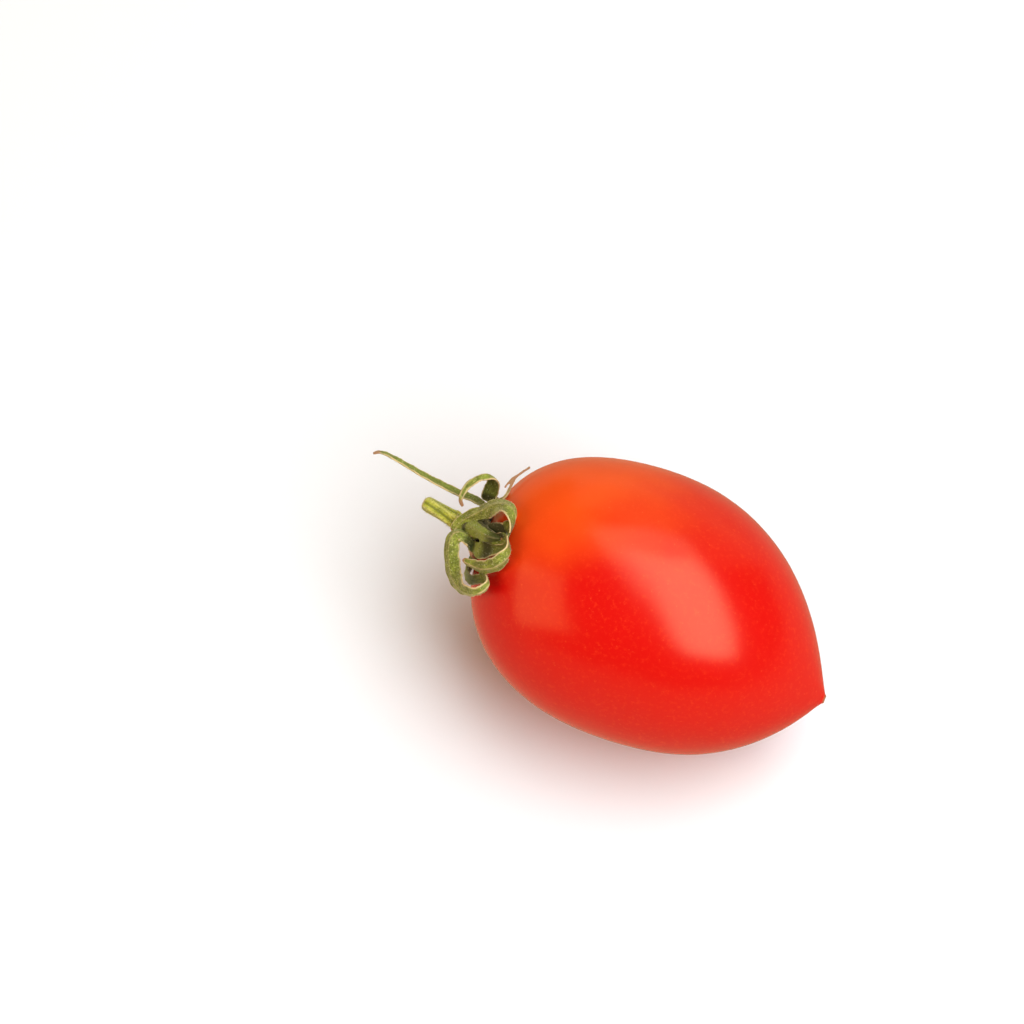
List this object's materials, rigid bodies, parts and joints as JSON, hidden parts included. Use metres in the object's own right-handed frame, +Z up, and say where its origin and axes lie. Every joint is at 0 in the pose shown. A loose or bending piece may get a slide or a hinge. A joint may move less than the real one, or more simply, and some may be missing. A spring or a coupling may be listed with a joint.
{
  "type": "plum tomato",
  "caption": "Plum tomato lying on its side, with curled green sepals and a short cut stalk at one end and a blunt point at the other.",
  "frame": {"origin": "middle of the small flat spot under the fruit, which it rests on", "axes": "+Z up out of the resting surface; +X along the fruit from the stalk end to the pointed end, level; +Y to the back"},
  "size_m": [0.0923, 0.0502, 0.0498],
  "materials": {
    "fruit_skin": "ripe red tomato skin, smooth and waxy with a soft gloss",
    "sepals": "matt green leaf, finely hairy, with paler dry edges",
    "stalk": "fresh green stem, finely hairy, with a dry pale cut end"
  },
  "bodies": {
    "root": {"fruit": "fruit_skin", "calyx": "sepals", "stalk": "stalk"}
  },
  "joints": []
}
